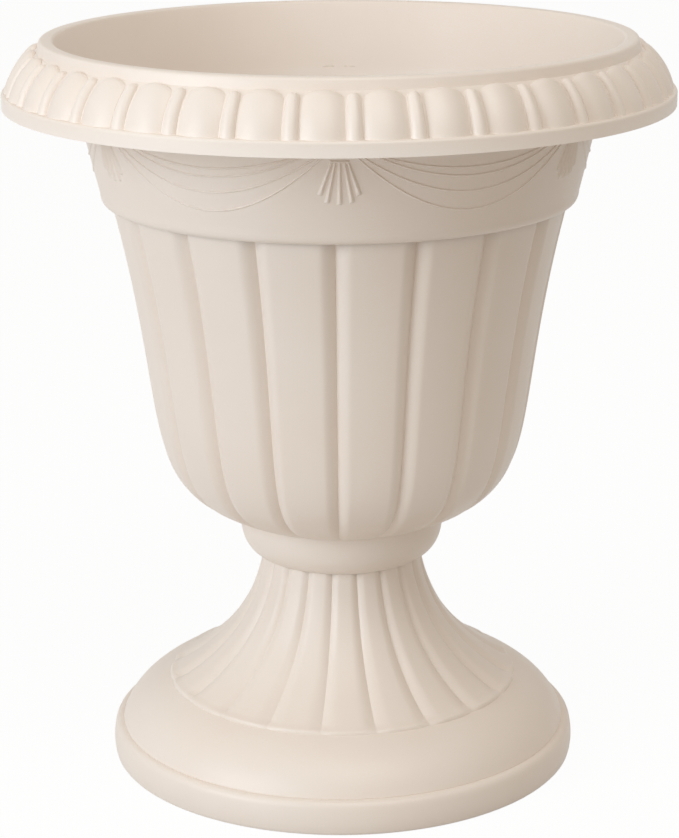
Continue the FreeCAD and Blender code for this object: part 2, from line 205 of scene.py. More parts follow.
def lobe_angles(count, phase, shoulder):
    """Angles with a column on every valley, closest where the shoulders curve."""
    near = shoulder * np.array([0, .06, .13, .21, .3, .4, .5, .6, .7, .8, .9, 1.0, 1.12])
    half = np.concatenate([near, np.linspace(near[-1], 0.5, 6)[1:]])
    shares = np.concatenate([half, 1 - half[::-1][1:-1]])
    step = 2 * math.pi / count
    starts = math.radians(phase - 90) - step / 2 + step * np.arange(count)
    return (starts[:, None] + shares[None, :] * step).ravel()


def grid_piece(name, grid, floor, crease=35):
    """Closed pad from a grid of points on top and the matching grid below it."""
    rows, columns = grid.shape[:2]
    count = rows * columns
    row, column = np.meshgrid(np.arange(rows - 1), np.arange(columns - 1), indexing="ij")
    corner = row * columns + column
    top = np.stack([corner, corner + 1, corner + columns + 1, corner + columns], -1).reshape(-1, 4)
    rim = ([i for i in range(columns)] + [r * columns + columns - 1 for r in range(1, rows)]
           + [(rows - 1) * columns + c for c in range(columns - 2, -1, -1)]
           + [r * columns for r in range(rows - 2, 0, -1)])
    sides = [[b, a, a + count, b + count] for a, b in zip(rim, rim[1:] + rim[:1])]
    faces = top.tolist() + (top[:, ::-1] + count).tolist() + sides
    vertices = np.concatenate([grid.reshape(-1, 3), floor.reshape(-1, 3)]) * MM
    return new_piece(name, vertices, faces, crease)


# ---- geometry nodes ----
class Tree:
    """Small helper that adds and links nodes in one tree."""

    def __init__(self, tree):
        self.tree = tree

    def node(self, kind, **values):
        made = self.tree.nodes.new(kind)
        for key, value in values.items():
            setattr(made, key, value)
        return made

    def link(self, source, target):
        self.tree.links.new(source, target)

    def math(self, operation, *values, clamp=False):
        made = self.node("ShaderNodeMath", operation=operation, use_clamp=clamp)
        for socket, value in zip(made.inputs, values):
            if isinstance(value, (int, float)):
                socket.default_value = value
            else:
                self.link(value, socket)
        return made.outputs[0]


def geometry_tree(name, sockets):
    """Geometry node group with a geometry in and out and named inputs."""
    group = bpy.data.node_groups.new(name, "GeometryNodeTree")
    group.interface.new_socket("Geometry", in_out="INPUT", socket_type="NodeSocketGeometry")
    for label, kind, default in sockets:
        socket = group.interface.new_socket(label, in_out="INPUT", socket_type="NodeSocket" + kind)
        if default is not None:
            socket.default_value = default
    group.interface.new_socket("Geometry", in_out="OUTPUT", socket_type="NodeSocketGeometry")
    tree = Tree(group)
    return tree, tree.node("NodeGroupInput"), tree.node("NodeGroupOutput")


def course_tree():
    """Copies of one piece set round the axis at even steps."""
    tree, inputs, output = geometry_tree("course_round_the_axis", [
        ("Count", "Int", 36), ("First angle", "Float", 0.0), ("Material", "Material", None)])
    points = tree.node("GeometryNodePoints")
    tree.link(inputs.outputs["Count"], points.inputs["Count"])
    index = tree.node("GeometryNodeInputIndex")
    step = tree.math("DIVIDE", 2 * math.pi, inputs.outputs["Count"])
    turn = tree.math("MULTIPLY_ADD", index.outputs[0], step, inputs.outputs["First angle"])
    angles = tree.node("ShaderNodeCombineXYZ")
    tree.link(turn, angles.inputs["Z"])
    rotation = tree.node("FunctionNodeEulerToRotation")
    tree.link(angles.outputs[0], rotation.inputs[0])
    instances = tree.node("GeometryNodeInstanceOnPoints")
    tree.link(points.outputs[0], instances.inputs["Points"])
    tree.link(inputs.outputs["Geometry"], instances.inputs["Instance"])
    tree.link(rotation.outputs[0], instances.inputs["Rotation"])
    finish_tree(tree, instances.outputs[0], inputs, output)
    return tree.tree


def lobe_tree():
    """Valleys pressed into a turned form where its 'lobed' attribute is set."""
    tree, inputs, output = geometry_tree("lobes_round_the_axis", [
        ("Count", "Int", 18), ("First middle", "Float", 0.0), ("Shoulder", "Float", 0.2),
        ("Depth", "Float", 0.04), ("Roundness", "Float", 1.8), ("Material", "Material", None)])
    place = tree.node("GeometryNodeInputPosition")
    axes = tree.node("ShaderNodeSeparateXYZ")
    tree.link(place.outputs[0], axes.inputs[0])
    angle = tree.math("ARCTAN2", axes.outputs["Y"], axes.outputs["X"])
    from_middle = tree.math("SUBTRACT", angle, inputs.outputs["First middle"])
    lobes = tree.math("DIVIDE", tree.math("MULTIPLY", from_middle, inputs.outputs["Count"]),
                      2 * math.pi)
    share = tree.math("FRACT", tree.math("ADD", lobes, 0.5 + 100.0))
    to_valley = tree.math("MINIMUM", share, tree.math("SUBTRACT", 1.0, share))
    from_valley = tree.math("DIVIDE", to_valley, inputs.outputs["Shoulder"])
    slope = tree.math("SUBTRACT", 1.0, from_valley, clamp=True)
    press = tree.math("MULTIPLY", tree.math("POWER", slope, inputs.outputs["Roundness"]),
                      inputs.outputs["Depth"])
    weight = tree.node("GeometryNodeInputNamedAttribute", data_type="FLOAT")
    weight.inputs["Name"].default_value = "lobed"
    factor = tree.math("SUBTRACT", 1.0, tree.math("MULTIPLY", press, weight.outputs["Attribute"]))
    moved = tree.node("ShaderNodeCombineXYZ")
    tree.link(tree.math("MULTIPLY", axes.outputs["X"], factor), moved.inputs["X"])
    tree.link(tree.math("MULTIPLY", axes.outputs["Y"], factor), moved.inputs["Y"])
    tree.link(axes.outputs["Z"], moved.inputs["Z"])
    setter = tree.node("GeometryNodeSetPosition")
    tree.link(inputs.outputs["Geometry"], setter.inputs["Geometry"])
    tree.link(moved.outputs[0], setter.inputs["Position"])
    finish_tree(tree, setter.outputs[0], inputs, output)
    return tree.tree


def finish_tree(tree, geometry, inputs, output):
    realize = tree.node("GeometryNodeRealizeInstances")
    material = tree.node("GeometryNodeSetMaterial")
    tree.link(geometry, realize.inputs[0])
    tree.link(realize.outputs[0], material.inputs["Geometry"])
    tree.link(inputs.outputs["Material"], material.inputs["Material"])
    tree.link(material.outputs[0], output.inputs[0])


def grown(source, group, values, crease=35):
    """Plain mesh that a geometry tree makes from the source, which it replaces."""
    modifier = source.modifiers.new(group.name, "NODES")
    modifier.node_group = group
    for item in group.interface.items_tree:
        if item.in_out == "INPUT" and item.name in values:
            modifier[item.identifier] = values[item.name]
    graph = bpy.context.evaluated_depsgraph_get()
    mesh = bpy.data.meshes.new_from_object(
        source.evaluated_get(graph), preserve_all_data_layers=True, depsgraph=graph)
    source.modifiers.clear()
    source.data = mesh
    mesh.name = source.name
    mesh.shade_smooth()
    mesh.set_sharp_from_angle(angle=math.radians(crease))
    return source


def lobed(piece, weights, count, turn, shoulder, depth, material):
    """Valleys in a turned piece, as deep as each row of its loop is weighted."""
    columns = len(piece.data.vertices) // len(weights)
    attribute = piece.data.attributes.new("lobed", "FLOAT", "POINT")
    attribute.data.foreach_set(
        "value", np.repeat(weights[::-1], columns).astype(np.float32))
    return grown(piece, bpy.data.node_groups.get("lobes_round_the_axis") or lobe_tree(), {
        "Count": count, "First middle": turn - math.pi / 2, "Shoulder": shoulder,
        "Depth": depth, "Roundness": 1.8, "Material": material})


def dressed(piece, body, material):
    """Material, body and slot of a finished piece of the part."""
    if not piece.data.materials:
        piece.data.materials.append(material)
    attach(piece, body)
    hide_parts(body)
    return piece


# ---- shader groups and materials ----
def shader_group(name, inputs, outputs):
    group = bpy.data.node_groups.new(name, "ShaderNodeTree")
    for label, kind, default in inputs:
        socket = group.interface.new_socket(label, in_out="INPUT", socket_type="NodeSocket" + kind)
        if default is not None:
            socket.default_value = default
    for label, kind in outputs:
        group.interface.new_socket(label, in_out="OUTPUT", socket_type="NodeSocket" + kind)
    tree = Tree(group)
    return tree, tree.node("NodeGroupInput"), tree.node("NodeGroupOutput")


def cast_tone_group():
    """Soft clouds of tone in moulded resin, with fine specks and paler edges."""
    tree, inputs, output = shader_group("cast_tone", [
        ("Vector", "Vector", None), ("Light", "Color", (0.8, 0.7, 0.6, 1)),
        ("Deep", "Color", (0.7, 0.6, 0.5, 1)), ("Cloud scale", "Float", 9.0),
        ("Edge", "Float", 0.3)], [("Color", "Color"), ("Mask", "Float")])
    clouds = tree.node("ShaderNodeTexNoise", noise_dimensions="3D")
    clouds.inputs["Detail"].default_value = 4.0
    clouds.inputs["Roughness"].default_value = 0.55
    tree.link(inputs.outputs["Vector"], clouds.inputs["Vector"])
    tree.link(inputs.outputs["Cloud scale"], clouds.inputs["Scale"])
    specks = tree.node("ShaderNodeTexNoise", noise_dimensions="3D")
    specks.inputs["Scale"].default_value = 900.0
    specks.inputs["Detail"].default_value = 2.0
    tree.link(inputs.outputs["Vector"], specks.inputs["Vector"])
    soft = tree.math("MULTIPLY_ADD", specks.outputs[0], 0.25, clouds.outputs[0])
    mask = tree.node("ShaderNodeMapRange")
    tree.link(soft, mask.inputs["Value"])
    mask.inputs["From Min"].default_value = 0.45
    mask.inputs["From Max"].default_value = 0.80
    tone = tree.node("ShaderNodeMix", data_type="RGBA")
    tree.link(mask.outputs["Result"], tone.inputs["Factor"])
    tree.link(inputs.outputs["Light"], tone.inputs["A"])
    tree.link(inputs.outputs["Deep"], tone.inputs["B"])
    # Paler colour mixed in on sharp convex edges, where pointiness is high
    edge = tree.node("ShaderNodeNewGeometry")
    edge_pale_mask = tree.node("ShaderNodeMapRange")
    tree.link(edge.outputs["Pointiness"], edge_pale_mask.inputs["Value"])
    edge_pale_mask.inputs["From Min"].default_value = 0.51
    edge_pale_mask.inputs["From Max"].default_value = 0.60
    paler = tree.node("ShaderNodeMix", data_type="RGBA")
    paler.inputs["B"].default_value = (1, 0.98, 0.94, 1)
    tree.link(tree.math("MULTIPLY", edge_pale_mask.outputs["Result"], inputs.outputs["Edge"]),
              paler.inputs["Factor"])
    tree.link(tone.outputs["Result"], paler.inputs["A"])
    tree.link(paler.outputs["Result"], output.inputs["Color"])
    tree.link(mask.outputs["Result"], output.inputs["Mask"])
    return tree.tree


def mould_grain_group():
    """Fine satin grain of a mould, and the slow waviness of a thin wall."""
    tree, inputs, output = shader_group("mould_grain", [
        ("Vector", "Vector", None), ("Grain scale", "Float", 1400.0), ("Wave scale", "Float", 22.0),
        ("Grain", "Float", 0.02), ("Wave", "Float", 0.3), ("Rough", "Float", 0.45)],
        [("Height", "Float"), ("Roughness", "Float")])
    grain = tree.node("ShaderNodeTexNoise", noise_dimensions="3D")
    grain.inputs["Detail"].default_value = 3.0
    tree.link(inputs.outputs["Vector"], grain.inputs["Vector"])
    tree.link(inputs.outputs["Grain scale"], grain.inputs["Scale"])
    wave = tree.node("ShaderNodeTexNoise", noise_dimensions="3D")
    wave.inputs["Detail"].default_value = 1.0
    tree.link(inputs.outputs["Vector"], wave.inputs["Vector"])
    tree.link(inputs.outputs["Wave scale"], wave.inputs["Scale"])
    height = tree.math("ADD", tree.math("MULTIPLY", grain.outputs[0], inputs.outputs["Grain"]),
                       tree.math("MULTIPLY", wave.outputs[0], inputs.outputs["Wave"]))
    spread = tree.math("MULTIPLY_ADD", tree.math("SUBTRACT", grain.outputs[0], 0.5), 0.12,
                       inputs.outputs["Rough"])
    tree.link(height, output.inputs["Height"])
    tree.link(spread, output.inputs["Roughness"])
    return tree.tree


def moulded_material(name, light, deep, edge, rough, grain, grain_scale, specular):
    """Moulded stuff with tone, grain and satin gloss from the two groups."""
    material = bpy.data.materials.new(name)
    material.use_nodes = True
    material.node_tree.nodes.clear()
    tree = Tree(material.node_tree)
    place = tree.node("ShaderNodeTexCoord")
    tone = tree.node("ShaderNodeGroup", node_tree=bpy.data.node_groups["cast_tone"])
    tone.inputs["Light"].default_value = (*light, 1)
    tone.inputs["Deep"].default_value = (*deep, 1)
    tone.inputs["Edge"].default_value = edge
    skin = tree.node("ShaderNodeGroup", node_tree=bpy.data.node_groups["mould_grain"])
    skin.inputs["Grain"].default_value = grain
    skin.inputs["Grain scale"].default_value = grain_scale
    skin.inputs["Rough"].default_value = rough
    bump = tree.node("ShaderNodeBump")
    bump.inputs["Strength"].default_value = 0.35
    bump.inputs["Distance"].default_value = 0.0006
    shader = tree.node("ShaderNodeBsdfPrincipled")
    shader.inputs["Specular IOR Level"].default_value = specular
    output = tree.node("ShaderNodeOutputMaterial")
    tree.link(place.outputs["Object"], tone.inputs["Vector"])
    tree.link(place.outputs["Object"], skin.inputs["Vector"])
    tree.link(tone.outputs["Color"], shader.inputs["Base Color"])
    tree.link(skin.outputs["Roughness"], shader.inputs["Roughness"])
    tree.link(skin.outputs["Height"], bump.inputs["Height"])
    tree.link(bump.outputs["Normal"], shader.inputs["Normal"])
    tree.link(shader.outputs["BSDF"], output.inputs["Surface"])
    return material


def material_named(name):
    """The finished material, made with its groups the first time it is asked for."""
    if name in bpy.data.materials:
        return bpy.data.materials[name]
    if "cast_tone" not in bpy.data.node_groups:
        cast_tone_group()
        mould_grain_group()
    finish = bpy.context.scene.urn_finish
    if name == "cream_resin":
        return moulded_material(name, finish.resin_light, finish.resin_deep, finish.edge_paling,
                                finish.resin_roughness, 0.03, 1400.0, 0.45)
    return moulded_material(name, finish.rubber_light, finish.rubber_deep, 0.15,
                            0.7, 0.08, 2200.0, 0.3)


# ---- sizes and finishes that a user would change ----
class UrnBowlSizes(bpy.types.PropertyGroup):
    """Lobes, eggs, darts, swags and fans of the bowl"""

    lobes: bpy.props.IntProperty(
        name="Lobes", description="Lobes round the bowl", default=18, min=6)
    lobe_turn: bpy.props.FloatProperty(
        name="Lobe turn", description="Angle of the front lobe's middle from the front",
        default=math.radians(8.85), subtype="ANGLE")
    lobe_depth: bpy.props.FloatProperty(
        name="Lobe depth", description="Depth of a valley as a share of its radius", default=0.040)
    lobe_shoulder: bpy.props.FloatProperty(
        name="Lobe shoulder", description="Rounded share of a lobe at each side", default=0.20)
    eggs: bpy.props.IntProperty(name="Eggs", description="Eggs round the rim", default=36, min=8)
    egg_turn: bpy.props.FloatProperty(
        name="Egg turn", description="Angle of the front egg's middle from the front",
        default=math.radians(-2.6), subtype="ANGLE")
    egg_crest: bpy.props.FloatProperty(
        name="Egg crest", description="How far an egg's middle stands off its ground",
        default=0.0034, unit="LENGTH")
    dart_crest: bpy.props.FloatProperty(
        name="Dart crest", description="How far a dart stands off its ground",
        default=0.0030, unit="LENGTH")
    swags: bpy.props.IntProperty(name="Swags", description="Swags round the band", default=6, min=3)
    swag_relief: bpy.props.FloatProperty(
        name="Swag relief", description="How far a swag's lines stand off the band",
        default=0.0007, unit="LENGTH")
    fan_relief: bpy.props.FloatProperty(
        name="Fan relief", description="How far a fan's ribs stand off the band",
        default=0.0014, unit="LENGTH")


class UrnPedestalSizes(bpy.types.PropertyGroup):
    """Flutes of the pedestal"""

    flutes: bpy.props.IntProperty(
        name="Flutes", description="Flutes round the stem", default=20, min=8)
    flute_turn: bpy.props.FloatProperty(
        name="Flute turn", description="Angle of the front flute's middle from the front",
        default=math.radians(1.9), subtype="ANGLE")
    flute_depth: bpy.props.FloatProperty(
        name="Flute depth", description="Depth of a valley as a share of its radius", default=0.040)
    flute_shoulder: bpy.props.FloatProperty(
        name="Flute shoulder", description="Rounded share of a flute at each side", default=0.30)


class UrnFinish(bpy.types.PropertyGroup):
    """Colours and gloss of the resin and the rubber"""

    resin_light: bpy.props.FloatVectorProperty(
        name="Resin light", description="Paler tone of the resin", subtype="COLOR",
        default=(0.85, 0.775, 0.70), min=0, max=1)
    resin_deep: bpy.props.FloatVectorProperty(
        name="Resin deep", description="Deeper tone of the resin", subtype="COLOR",
        default=(0.83, 0.745, 0.665), min=0, max=1)
    resin_roughness: bpy.props.FloatProperty(
        name="Resin roughness", description="Satin gloss of the resin", default=0.42, min=0, max=1)
    # Edge paling: how much paler the colour is mixed on sharp convex edges, where pointiness is
    # high
    edge_paling: bpy.props.FloatProperty(
        name="Edge wear", description="How pale the edges are rubbed", default=0.25, min=0, max=1)
    rubber_light: bpy.props.FloatVectorProperty(
        name="Rubber light", description="Paler tone of the plugs", subtype="COLOR",
        default=(0.085, 0.078, 0.070), min=0, max=1)
    rubber_deep: bpy.props.FloatVectorProperty(
        name="Rubber deep", description="Deeper tone of the plugs", subtype="COLOR",
        default=(0.055, 0.050, 0.045), min=0, max=1)


class UrnStudio(bpy.types.PropertyGroup):
    """Camera and light of the studio"""

    lens: bpy.props.FloatProperty(
        name="Lens", description="Focal length in millimetres", default=107.58)
    key_power: bpy.props.FloatProperty(
        name="Key light", description="Power of the large lamp at the left", default=28.0,
        unit="POWER")
    top_power: bpy.props.FloatProperty(
        name="Top light", description="Power of the soft lamp overhead", default=13.0, unit="POWER")
    sky: bpy.props.FloatProperty(
        name="Sky", description="Strength of the even warm light all round", default=0.53)


# ---- operators ----
class URN_OT_bowl_body(bpy.types.Operator):
    """Lobed body of the bowl with its inside, floor, collar and sleeve"""

    bl_idname = "urn.bowl_body"
    bl_label = "Bowl Body"

    def execute(self, context):
        sizes = context.scene.urn_bowl
        resin = material_named("cream_resin")
        crest = bezier(BODY_CREST, 110)
        inner = offset(crest, WALL)[::-1]
        inner = inner[inner[:, 1] > FLOOR_TOP][::3]
        outer = np.concatenate([crest, [(143.0, BODY_TOP)]])
        loop = joined(outer, [(143.0, BODY_TOP + 2)], [(inner[0, 0], BODY_TOP + 2)], inner,
                      [(62.0, FLOOR_TOP)], [(62.0, FLOOR_UNDERSIDE)])
        angles = lobe_angles(sizes.lobes, math.degrees(sizes.lobe_turn), sizes.lobe_shoulder)
        weights = np.zeros(len(loop))
        weights[:len(crest)] = 1.0
        start = len(crest) + 3
        weights[start:start + len(inner) - 1] = 1.0
        piece = new_piece("bowl_body", turned_points(loop[::-1], angles),
                          ring_faces(len(loop), len(angles)))
        lobed(piece, weights, sizes.lobes, sizes.lobe_turn, sizes.lobe_shoulder,
              sizes.lobe_depth, resin)
        dressed(piece, "bowl", resin)
        dressed(self.floor(), "bowl", resin)
        collar = bezier([(64, 159), (64, 150), (64, 141), (59, 133.2), (50, 130.5)], 26)
        hollow = bezier([(53.5, 134.5), (58.5, 138.5), (61, 143), (61, 150), (61, 159)], 18)
        dressed(turned_ring("bowl_collar", joined(collar, [(50, 133)], hollow)),
                "bowl", resin)
        dressed(self.sleeve(), "bowl", resin)
        return {"FINISHED"}

    def floor(self):
        """Round floor with three drain holes."""
        curve = bpy.data.curves.new("bowl_floor", "CURVE")
        curve.dimensions = "2D"
        curve.fill_mode = "BOTH"
        curve.extrude = WALL * MM / 2
        circles = [(0, 0, 63.0, 96)] + [
            (24 * math.cos(a), 24 * math.sin(a), 6.05, 40)
            for a in (math.radians(30 + 120 * k) for k in range(3))]
        for x, y, radius, count in circles:
            spline = curve.splines.new("POLY")
            spline.points.add(count - 1)
            spline.use_cyclic_u = True
            for k, spot in enumerate(spline.points):
                a = 2 * math.pi * k / count
                spot.co = ((x + radius * math.cos(a)) * MM, (y + radius * math.sin(a)) * MM, 0, 1)
        shape = bpy.data.objects.new("floor_shape", curve)
        graph = bpy.context.evaluated_depsgraph_get()
        mesh = bpy.data.meshes.new_from_object(shape, depsgraph=graph)
        points = np.zeros(len(mesh.vertices) * 3)
        mesh.vertices.foreach_get("co", points)
        points[2::3] += (FLOOR_TOP + FLOOR_UNDERSIDE) / 2 * MM
        faces = [list(p.vertices) for p in mesh.polygons]
        piece = new_piece("bowl_floor", points.reshape(-1, 3), faces)
        weld(piece)
        bpy.data.objects.remove(shape)
        return piece

    def sleeve(self):
        """Sleeve that takes the pedestal's spigot, with its two key slots."""
        angles, at_key = keyed_angles(math.asin(4.2 / SLEEVE_SLOT))
        inside = np.where(at_key, SLEEVE_SLOT, SLEEVE_BORE)
        outer = np.full(len(angles), SLEEVE_RADIUS)
        top = FLOOR_UNDERSIDE + 1
        rows = [(inside, SEAT_LEVEL), (inside, top), (outer, top), (outer, SEAT_LEVEL)]
        return new_piece("bowl_sleeve", stacked(rows, angles), ring_faces(4, len(angles)))


def weld(piece):
    """Merges doubled points and turns every face outwards."""
    cage = bmesh.new()
    cage.from_mesh(piece.data)
    bmesh.ops.remove_doubles(cage, verts=cage.verts, dist=1e-6)
    bmesh.ops.recalc_face_normals(cage, faces=cage.faces)
    cage.to_mesh(piece.data)
    cage.free()
    piece.data.shade_smooth()
    piece.data.set_sharp_from_angle(angle=math.radians(35))


class URN_OT_bowl_rim(bpy.types.Operator):
    """Plain band, hollow rim and rolled lip of the bowl"""

    bl_idname = "urn.bowl_rim"
    bl_label = "Bowl Rim and Band"

    def execute(self, context):
        resin = material_named("cream_resin")
        foot = bezier(BAND_FOOT, 10)
        side = straight((BAND_FOOT_RADIUS, 365), (BAND_TOP_RADIUS, BAND_TOP), 16)
        band = joined([(137.0, BODY_TOP)], foot, side[1:], [(BAND_TOP_INSIDE, BAND_TOP)],
                      straight((143.1, 365), (136.6, 359.5), 3))
        dressed(turned_ring("bowl_band", band), "bowl", resin)
        lip_corner, mouth = (LIP_OUTER_RADIUS, LIP_TOP), (LIP_INNER_RADIUS, LIP_TOP)
        wall_foot = (BAND_TOP_INSIDE, BAND_TOP)
        flange_foot, flange_top = (FLANGE_RADIUS, FLANGE_FOOT), (FLANGE_RADIUS, 426.8)
        lip_out = rounded(lip_corner, OVOLO_TOP, mouth, 2.2, 9)
        lip_in = rounded(mouth, lip_corner, wall_foot, 2.2, 9)
        ledge = rounded(flange_top, flange_foot, OVOLO_FOOT, 1.8, 8)
        rim = joined([(FLANGE_INSIDE, FLANGE_FOOT)], [flange_foot], ledge, ovolo(0, 24),
                     lip_out, lip_in, straight(lip_in[-1], wall_foot, 8)[1:],
                     [(BAND_TOP_RADIUS, BAND_TOP)], [(BAND_TOP_RADIUS, FLANGE_FOOT)],
                     straight((160.0, 420.0), (170.0, 447.5), 5),
                     ovolo(-WALL, 16)[::-1], [(FLANGE_INSIDE, 424.0)])
        dressed(turned_ring("bowl_rim", rim), "bowl", resin)
        return {"FINISHED"}


def on_ovolo(angle, share, height):
    """Point over the egg course's ground: turned angle, share up it, height off it."""
    path = ovolo(0, 66, 0.1)
    path_high = ovolo(1.0, 66, 0.1)
    marks = np.linspace(-0.1, 1, 66)
    x = np.interp(share, marks, path[:, 0])
    z = np.interp(share, marks, path[:, 1])
    nx = np.interp(share, marks, path_high[:, 0]) - x
    nz = np.interp(share, marks, path_high[:, 1]) - z
    radius = x + nx * height
    return np.stack([radius * np.cos(angle), radius * np.sin(angle), z + nz * height], -1)


def rows_to_round_end(straight_share, straight_rows, round_rows):
    """Shares of a length, even at first and then closer towards its round end."""
    bend = np.sin(np.linspace(0, math.pi / 2, round_rows))[1:]
    return np.concatenate([np.linspace(0, straight_share, straight_rows),
                           straight_share + (1 - straight_share) * bend])[:, None]


class URN_OT_egg_course(bpy.types.Operator):
    """Eggs and darts in turn round the rim"""

    bl_idname = "urn.egg_course"
    bl_label = "Egg and Dart Course"

    def execute(self, context):
        sizes = context.scene.urn_bowl
        resin = material_named("cream_resin")
        tree = bpy.data.node_groups.get("course_round_the_axis") or course_tree()
        step = 2 * math.pi / sizes.eggs
        egg = self.egg(step * 0.345, sizes.egg_crest / MM)
        grown(egg, tree, {"Count": sizes.eggs, "First angle": sizes.egg_turn - math.pi / 2,
                          "Material": resin}, 50)
        dressed(egg, "bowl", resin)
        dart = self.dart(sizes.dart_crest / MM)
        between = sizes.egg_turn + step / 2 - math.pi / 2
        grown(dart, tree, {"Count": sizes.eggs, "First angle": between, "Material": resin}, 50)
        dressed(dart, "bowl", resin)
        return {"FINISHED"}

    def egg(self, half, crest):
        """One egg on the X axis: a crowned strip with an arched, rolled top."""
        across = np.sin(np.linspace(-math.pi / 2, math.pi / 2, 25))[None, :]
        along = rows_to_round_end(0.66, 9, 12)
        arch = 0.985 - 0.20 * (1 - np.sqrt(np.clip(1 - across ** 2, 0, 1)))
        share = along * (arch + 0.08) - 0.08
        roll = np.sqrt(np.clip(1 - (np.clip(along - 0.86, 0, 1) / 0.14) ** 2, 0, 1))
        crown = 0.25 + (crest - 0.25) * (1 - np.abs(across) ** 2.1)
        height = crown * roll
        angle = across * half + 0 * along
        return grid_piece("rim_eggs", on_ovolo(angle, share, height),
                          on_ovolo(angle, share, height * 0 - 1.5), 50)

    def dart(self, crest):
        """One dart on the X axis: a round rib with a round top."""
        sweep = np.linspace(-math.pi / 2, math.pi / 2, 15)[None, :]
        along = rows_to_round_end(0.85, 8, 7)
        end = np.sqrt(np.clip(1 - (np.clip(along - 0.85, 0, 1) / 0.15) ** 2, 0.0004, 1))
        half = (4.7 - 0.9 * along) * end
        angle = half * np.sin(sweep) / (198 - 16 * along)
        height = (crest + 1.2) * np.cos(sweep) * end - 1.2
        share = along * 1.02 - 0.08 + 0 * sweep
        return grid_piece("rim_darts", on_ovolo(angle, share, height),
                          on_ovolo(angle, share, height * 0 - 2.2), 50)


def band_radius(height):
    """Outer radius of the band at a height, in millimetres."""
    return np.interp(height, [BODY_TOP, 365.0, BAND_TOP],
                     [BAND_FOOT[0][0], BAND_FOOT_RADIUS, BAND_TOP_RADIUS])


def on_band(angle, height, proud):
    radius = band_radius(height) + proud
    return np.stack([radius * np.cos(angle), radius * np.sin(angle), height], -1)


def relief_strip(angles, heights, widths, relief):
    """Rounded ridge on the band along a path of angles and heights."""
    radius = band_radius(heights)
    path = np.stack([angles * radius, heights], -1)
    along = np.gradient(path, axis=0)
    along /= np.linalg.norm(along, axis=1)[:, None]
    side = np.stack([-along[:, 1], along[:, 0]], -1)
    across = np.array([-1, -0.62, -0.3, 0, 0.3, 0.62, 1.0])
    lift = np.array([-0.15, 0.30, 0.78, 1.0, 0.78, 0.30, -0.15])
    spots = path[:, None, :] + side[:, None, :] * (across[None, :] * widths[:, None] / 2)[..., None]
    fade = np.sin(np.clip(np.linspace(0, 1, len(path)) * 14, 0, 1) * math.pi / 2)
    fade = np.minimum(fade, fade[::-1])
    height = lift[None, :] * relief * (0.1 + 0.9 * fade[:, None])
    turn, level = spots[..., 0] / radius[:, None], spots[..., 1]
    return on_band(turn, level, height)[:, ::-1], on_band(turn, level, height * 0 - 1.0)[:, ::-1]


class URN_OT_band_relief(bpy.types.Operator):
    """Swag lines and fans in low relief round the band"""

    bl_idname = "urn.band_relief"
    bl_label = "Swags and Fans"

    def execute(self, context):
        sizes = context.scene.urn_bowl
        resin = material_named("cream_resin")
        tree = bpy.data.node_groups.get("course_round_the_axis") or course_tree()
        reach = math.pi / sizes.swags
        lines = ((375.6, 44.0), (386.6, 32.7), (395.8, 25.3), (400.8, 18.2))
        for number, (low, rise) in enumerate(lines, 1):
            limit = min(1.0, math.sqrt((416.0 - low) / rise))
            share = np.linspace(-limit, limit, 61)
            heights = low + rise * share ** 2
            line = grid_piece(f"swag_line_{number}", *relief_strip(
                reach + share * reach, heights, np.full(61, 1.7), sizes.swag_relief / MM), 60)
            self.set_round(line, tree, sizes, resin)
        ribs = [(-11, -4.5, 388.0), (-7, -2.5, 383.5), (0, 0, 382.4), (7, 2.5, 383.5),
                (11, 4.5, 388.0)]
        for number, (foot, top, level) in enumerate(ribs, 1):
            heights = np.linspace(level, 407.5, 22)
            share = np.linspace(0, 1, 22)
            angles = (foot + (top - foot) * share) / band_radius(heights)
            rib = grid_piece(f"fan_rib_{number}", *relief_strip(
                angles, heights, 3.7 - 1.7 * share, sizes.fan_relief / MM), 60)
            self.set_round(rib, tree, sizes, resin)
        bar_angles = np.linspace(-5.5, 5.5, 18) / 156.0
        bar = grid_piece("fan_bar", *relief_strip(
            bar_angles, np.full(18, 407.6), np.full(18, 2.2), sizes.fan_relief / MM), 60)
        self.set_round(bar, tree, sizes, resin)
        return {"FINISHED"}

    def set_round(self, piece, tree, sizes, resin):
        grown(piece, tree, {
            "Count": sizes.swags, "First angle": -math.pi / 2, "Material": resin}, 60)
        dressed(piece, "bowl", resin)


